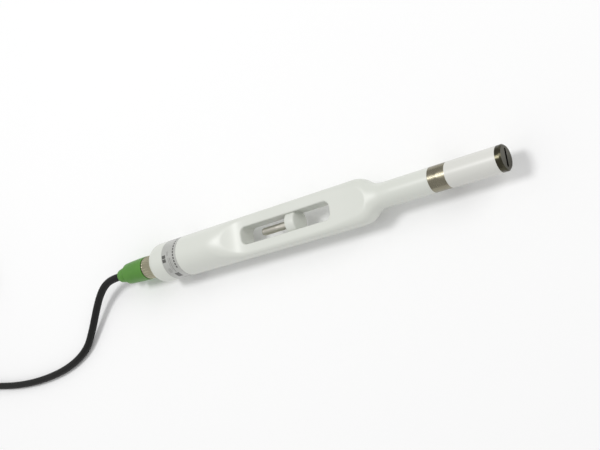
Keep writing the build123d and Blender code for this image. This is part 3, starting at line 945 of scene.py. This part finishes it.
def ribbed(look, outer):
    start, end, soft = look["ribFrom"] * mm, look["ribTo"] * mm, look["ribFade"] * mm

    def shape(along, radius, angle):
        if radius < outer - look["ribDepth"] * mm:
            return radius
        fade = min(max((along - start) / soft, 0), 1) * min(max((end - along) / soft, 0), 1)
        valley = (0.5 - 0.5 * math.cos(angle * look["ribs"])) ** 2
        return radius - look["ribDepth"] * mm * (1 - valley) * fade
    return shape


def makeNut(look):
    low, high = corners("coupling_nut")
    length, outer = high.x - low.x, (high.z - low.z) / 2
    back, bore, lip = look["backBore"] * mm, look["threadBore"] * mm, look["lip"] * mm
    neck, step = look["backRadius"] * mm, lip + look["lipGap"] * mm
    outline = subdivided(rounded([
        (0, back, 0.2 * mm), (0, neck, 0.3 * mm), (step, neck, 0), (step, outer, 0.3 * mm),
        (length, outer, 0.5 * mm), (length, bore, 0.3 * mm), (lip, bore, 0), (lip, back, 0),
    ]), look["rowStep"] * mm)
    axis, segments = Vector((low.x, 0, axisHeight)), look["ribs"] * 10
    piece = latheMesh("couplingNut", outline, axis, "coupling_nut", segments, ribbed(look, outer))
    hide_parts("coupling_nut")
    nickelFinish.dress(piece)


threadShape = {
    "pitch": 1.0, "depth": 0.5, "fade": 0.9, "crest": 5.9, "bore": 4.45, "rowStep": 0.125,
    "shellFrom": 0.3, "shellTo": 7.8, "flange": 2.0,
    "sleeveThread": 6.5, "sleeveFrom": 0.3, "sleeveTo": 0.2, "sleeveRibsTo": 8.2,
    "segments": 96, "sleeveSegments": 240, "sharp": 60,
}


def threaded(look, start, end):
    # a helical ridge between two places, faded at both ends
    reach = look["fade"] * mm

    def shape(along, radius, angle):
        if radius < (look["crest"] - 0.2) * mm or not start < along < end:
            return radius
        phase = (along / (look["pitch"] * mm) - angle / (2 * math.pi)) % 1
        ridge = abs(2 * phase - 1)
        fade = min(1, (along - start) / reach, (end - along) / reach)
        return radius - look["depth"] * mm * (1 - ridge) * fade
    return shape


def makeShell(look):
    low, high = corners("device_connector_shell")
    length, flange = high.x - low.x, (high.z - low.z) / 2
    crest, bore, step = look["crest"] * mm, look["bore"] * mm, length - look["flange"] * mm
    outline = subdivided(rounded([
        (0, bore, 0.2 * mm), (0, crest, 0.4 * mm), (step, crest, 0),
        (step, flange, 0.2 * mm), (length, flange, 0.2 * mm), (length, bore, 0),
    ]), look["rowStep"] * mm)
    axis = Vector((low.x, 0, axisHeight))
    shape = threaded(look, look["shellFrom"] * mm, look["shellTo"] * mm)
    piece = latheMesh(
        "connectorShell", outline, axis, "probe", look["segments"], shape, look["sharp"],
    )
    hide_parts("device_connector_shell")
    nickelFinish.dress(piece)


def makeFarSleeve(look, nut):
    low, high = corners("far_plug_sleeve")
    length, outer = high.x - low.x, (high.z - low.z) / 2
    crest, bore, grip = look["crest"] * mm, look["bore"] * mm, length - look["sleeveThread"] * mm
    outline = subdivided(rounded([
        (0, bore, 0.2 * mm), (0, outer, 0.8 * mm), (grip, outer, 0.5 * mm),
        (grip, crest, 0.2 * mm), (length, crest, 0.5 * mm), (length, bore, 0.2 * mm),
    ]), look["rowStep"] * mm)
    ribs = ribbed({**nut, "ribTo": look["sleeveRibsTo"]}, outer)
    thread = threaded(look, grip + look["sleeveFrom"] * mm, length - look["sleeveTo"] * mm)

    def shape(along, radius, angle):
        return thread(along, radius, angle) if along > grip else ribs(along, radius, angle)

    piece = latheMesh(
        "farSleeve", outline, rearMiddle("far_plug_sleeve"), "far_sleeve",
        look["sleeveSegments"], shape, look["sharp"],
    )
    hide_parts("far_plug_sleeve")
    nickelFinish.dress(piece)
    return piece


makeGrip("plugGrip", "plug_body", 2.65, 3.1, plugShape)
farGrip = makeGrip("farPlugGrip", "far_plug_body", 0.1, 0.6, plugShape)
makeNut(nutShape)
makeShell(threadShape)
farSleeve = makeFarSleeve(threadShape, nutShape)
print("plugs built")

# Nodes that keep their shape, by finish

keptNodes = [
    (housingFinish, ["rear_cap"]),
    (sleeveFinish, ["tip_sleeve"]),
    (labelFinish, ["label_band"]),
    (steelFinish, ["ring_electrode"]),
    (pinFinish, ["temperature_pin"]),
    (endPaintedShadeFinish, ["end_electrode"]),
    (brassFinish, ["device_contact_pins", "plug_contact_sockets", "far_plug_pins"]),
    (insertFinish, ["device_contact_holder", "plug_contact_carrier", "far_plug_insert"]),
    (insertFinish, ["tip_core", "board_clips"]),
    (boardFinish, ["circuit_board"]),
    (chipFinish, ["board_components", "temperature_element"]),
    (rubberFinish, ["rear_cap_seal", "device_connector_seal", "electrode_seals", "plug_seal"]),
    (wireFinish, ["signal_wires", "temperature_leads", "electrode_leads", "plug_wires"]),
    (jacketFinish, ["cable_end_in_plug"]),
]
for finish, names in keptNodes:
    finish.dress(*[nodes[name] for name in names])
print("kept nodes dressed")

# Floor, light and background

studio = {
    "floor": (0.97, 0.97, 0.97),
    "floorRoughness": 0.9,
    "floorSpecular": 0.1,
    "floorSize": 6.0,
    "world": 0.58,
    "lamps": [
        {"name": "keyLamp", "place": (-0.36, 0.28, 1.3), "size": 0.42, "power": 6.9},
        {"name": "tipLamp", "place": (1.3, 0.5, 0.75), "size": 0.7, "power": 5.0},
    ],
}


def makeStudio(look):
    half = look["floorSize"] / 2
    data = bpy.data.meshes.new("floor")
    ends = (-half, -half, 0), (half, -half, 0), (half, half, 0), (-half, half, 0)
    data.from_pydata(ends, [], [(0, 1, 2, 3)])
    floor = bpy.data.objects.new("floor", data)
    bpy.context.collection.objects.link(floor)
    finish = Finish(
        "paleFloor", None, Base_Color=look["floor"], Roughness=look["floorRoughness"],
        Specular_IOR_Level=look["floorSpecular"],
    )
    data.materials.append(finish.material)
    for lamp in look["lamps"]:
        light = bpy.data.lights.new(lamp["name"], "AREA")
        light.shape = "DISK"
        light.size = lamp["size"]
        light.energy = lamp["power"]
        piece = bpy.data.objects.new(lamp["name"], light)
        bpy.context.collection.objects.link(piece)
        place = Vector(lamp["place"])
        piece.location = place
        piece.rotation_euler = (-place).to_track_quat("-Z", "Y").to_euler()
    world = bpy.data.worlds.new("softRoom")
    world.use_nodes = True
    background = world.node_tree.nodes["Background"]
    background.inputs["Color"].default_value = (1, 1, 1, 1)
    background.inputs["Strength"].default_value = look["world"]
    bpy.context.scene.world = world
    bpy.context.scene.view_settings.view_transform = "Standard"


makeStudio(studio)
print("studio lit")

bpy.context.view_layer.update()
